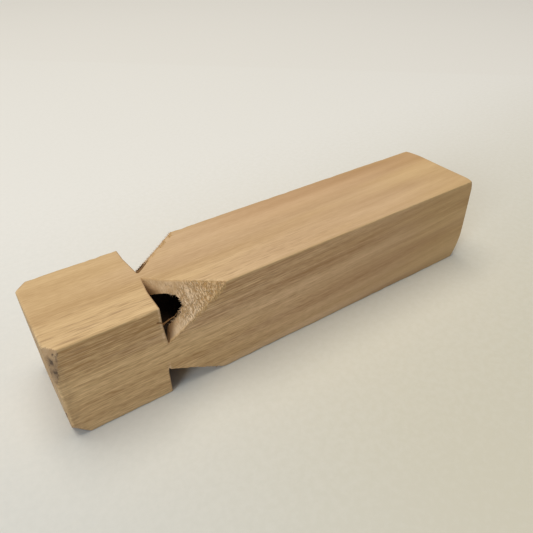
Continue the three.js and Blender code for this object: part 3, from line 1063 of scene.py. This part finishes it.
class WHISTLE_OT_plugs(bpy.types.Operator):
    """Makes the four fipple plugs of paler dowel"""

    bl_idname = "whistle.plugs"
    bl_label = "Make the plugs"

    def execute(self, context):
        block, colours = context.scene.whistle_block, context.scene.whistle_wood
        material = plain_grain_material(
            "dowel", 0.78, 0.45, 0.25 * MM, Pale=colours.dowel, Deep=colours.deep, Pore=colours.pore,
            Pores=0.5, Contrast=0.9)
        for corner in CORNERS:
            mesh = plug_mesh(corner, context.scene.whistle_plug, block)
            mesh.materials.append(material)
            shade(mesh, 40)
            piece(f"fipple_{corner.name}", mesh, [f"fipple_plug_{corner.name}"])
        return {"FINISHED"}


class WHISTLE_OT_fibres(bpy.types.Operator):
    """Makes the torn fibres of the four notches and the splinters"""

    bl_idname = "whistle.fibres"
    bl_label = "Make the torn fibres"

    def execute(self, context):
        scene = context.scene
        block, fibre, colours = scene.whistle_block, scene.whistle_fibre, scene.whistle_wood
        material, tree, shader, place = new_material("loose fibre", 0.9)
        patches = noise(tree, place, (500, 500, 500), 1.0)
        feed(tree, shader["Base Color"], blend(tree, patches.ramp(0.45, 0.75), colours.torn, colours.gap))
        for corner in CORNERS:
            loose_piece(f"torn_fibres_{corner.name}", *fibre_mesh(corner, fibre, block), material)
        material, _, shader, _ = new_material("splinter", 0.85)
        shader["Base Color"].default_value = SPLINTER
        loose_piece("splinters", *splinter_mesh(block), material)
        return {"FINISHED"}


# Stage

# Painted cool light on the left of the near paper
COOL_LIT_LEFT_PAPER = (0.655, 0.640, 0.575, 1.0)
PALE_WALL = (0.760, 0.745, 0.690, 1.0)
BACK_TINT = (0.992, 0.988, 0.985, 1.0)
WHITE = (1.0, 1.0, 1.0, 1.0)
SKY_COLOUR = (0.78, 0.88, 1.04, 1.0)
WINDOW_COLOUR = (1.0, 0.945, 0.865)
FRONT_COLOUR = (0.66, 0.80, 0.98)
TABLE_REACH = 3.0

# The camera stands over the mouth end and looks down along the block
CAMERA_PLACE = Vector((-91.0, -137.2, 142.2)) * MM
CAMERA_AHEAD = Vector((0.4295, 0.6758, -0.5989))
CAMERA_DOWN = Vector((-0.3419, -0.4930, -0.8000))
FIELD_OF_VIEW = 54.5


def paper_material(stage):
    """Paper with a soft mottle. In front of the whistle it carries painted shade, and on its left a painted
    cool light that makes it greyer; behind the whistle it is paler. It is a little darker past a fold far
    behind it."""
    material, tree, shader, place = new_material("pale paper", 0.9)
    x, y, _ = parts(tree, place)
    mottle = noise(tree, place, (420, 420, 420), 3.0, 0.65).ramp(0.3, 0.7, -0.06, 0.06)
    # Painted shade on the paper in front of the whistle, with painted cool light on its left
    nearness = (y.ramp(0.16, -0.11) + mottle).clamped()
    front = blend(tree, x.ramp(-0.12, 0.02), COOL_LIT_LEFT_PAPER, stage.shaded_near_paper)
    paper = blend(tree, nearness, stage.far_paper, front)
    sheet = blend(tree, (x * 0.94 + y).ramp(0.452, 0.462), WHITE, BACK_TINT)
    feed(tree, shader["Base Color"], blend(tree, 1.0, paper, sheet, "MULTIPLY"))
    return material


def soft_lamp(name, width, height, power, tint, place):
    """A lamp of that size that shines at the whistle and isn't seen itself."""
    light = bpy.data.lights.new(name, "AREA")
    light.shape, light.size, light.size_y = "RECTANGLE", width, height
    light.energy, light.color = power, tint
    lamp = new_object(name, light)
    aim = Vector((0.0, 0.0, 0.02)) - place
    lamp.matrix_world = Matrix.Translation(place) @ aim.to_track_quat("-Z", "Y").to_matrix().to_4x4()
    lamp.visible_camera = False


class WHISTLE_OT_stage(bpy.types.Operator):
    """Makes the table, the lamps, the sky and the camera"""

    bl_idname = "whistle.stage"
    bl_label = "Make the stage"

    def execute(self, context):
        scene, stage = context.scene, context.scene.whistle_stage
        far, low = TABLE_REACH, CAD_BOX[0].z - 0.1 * MM
        corners = [(-far, -far, low), (far, -far, low), (far, far, low), (-far, far, low)]
        mesh = bpy.data.meshes.new("table")
        mesh.from_pydata(corners, [], [(0, 1, 2, 3)])
        mesh.materials.append(paper_material(stage))
        table = new_object("table", mesh)

        soft_lamp("window", 1.6, 1.8, stage.window, WINDOW_COLOUR, Vector((-0.10, 0.32, 2.2)))
        soft_lamp("front", 0.6, 0.6, stage.front, FRONT_COLOUR, Vector((-1.35, -0.68, 0.75)))

        world = bpy.data.worlds.new("even light")
        world.use_nodes = True
        tree = world.node_tree
        sky = tree.nodes["Background"]
        sky.inputs["Color"].default_value = SKY_COLOUR
        sky.inputs["Strength"].default_value = stage.sky
        seen = value(tree, "ShaderNodeBackground", {"Color": PALE_WALL, "Strength": 1.0})
        share = value(tree, "ShaderNodeLightPath", output="Is Camera Ray")
        mixed = value(tree, "ShaderNodeMixShader", {0: share, 1: Value(tree, sky.outputs[0]), 2: seen})
        feed(tree, tree.nodes["World Output"].inputs["Surface"], mixed)
        scene.world = world

        lens = bpy.data.cameras.new("camera")
        lens.sensor_width = 36.0
        lens.lens = lens.sensor_width / 2 / math.tan(math.radians(FIELD_OF_VIEW / 2))
        lens.clip_start = 0.005
        camera = new_object("camera", lens)
        back = -CAMERA_AHEAD.normalized()
        right = (-CAMERA_DOWN).normalized().cross(back).normalized()
        turn = Matrix((right, back.cross(right), back)).transposed()
        camera.matrix_world = Matrix.Translation(CAMERA_PLACE) @ turn.to_4x4()
        scene.camera = camera
        scene.view_settings.view_transform = "Standard"
        return {"FINISHED"}


class WHISTLE_PT_panel(bpy.types.Panel):
    """The whistle's steps and sizes"""

    bl_idname = "WHISTLE_PT_panel"
    bl_label = "Train whistle"
    bl_space_type = "VIEW_3D"
    bl_region_type = "UI"
    bl_category = "Whistle"

    def draw(self, context):
        for operator in OPERATORS:
            self.layout.operator(operator.bl_idname)
        for holder, _ in SETTINGS.values():
            group = getattr(context.scene, holder)
            box = self.layout.box()
            for name in group.__annotations__:
                box.prop(group, name)


OPERATORS = (WHISTLE_OT_block, WHISTLE_OT_plugs, WHISTLE_OT_fibres, WHISTLE_OT_stage)
SETTINGS = {
    BlockSizes: ("whistle_block", "The block"),
    PlugSizes: ("whistle_plug", "The plugs"),
    FibreSizes: ("whistle_fibre", "The torn fibres"),
    WoodColours: ("whistle_wood", "The wood"),
    StageSettings: ("whistle_stage", "The stage"),
}


def register():
    """Registers the classes and hangs the settings on the scene."""
    for group, (holder, description) in SETTINGS.items():
        bpy.utils.register_class(group)
        setattr(bpy.types.Scene, holder, PointerProperty(type=group, description=description))
    for made in (*OPERATORS, WHISTLE_PT_panel):
        bpy.utils.register_class(made)


def unregister():
    """Takes everything that register added away again."""
    for made in (WHISTLE_PT_panel, *reversed(OPERATORS)):
        bpy.utils.unregister_class(made)
    for group, (holder, _) in SETTINGS.items():
        delattr(bpy.types.Scene, holder)
        bpy.utils.unregister_class(group)


def main():
    """Makes every piece in order."""
    register()
    bpy.ops.whistle.block()
    bpy.ops.whistle.plugs()
    bpy.ops.whistle.fibres()
    bpy.ops.whistle.stage()


if __name__ == "__main__":
    main()
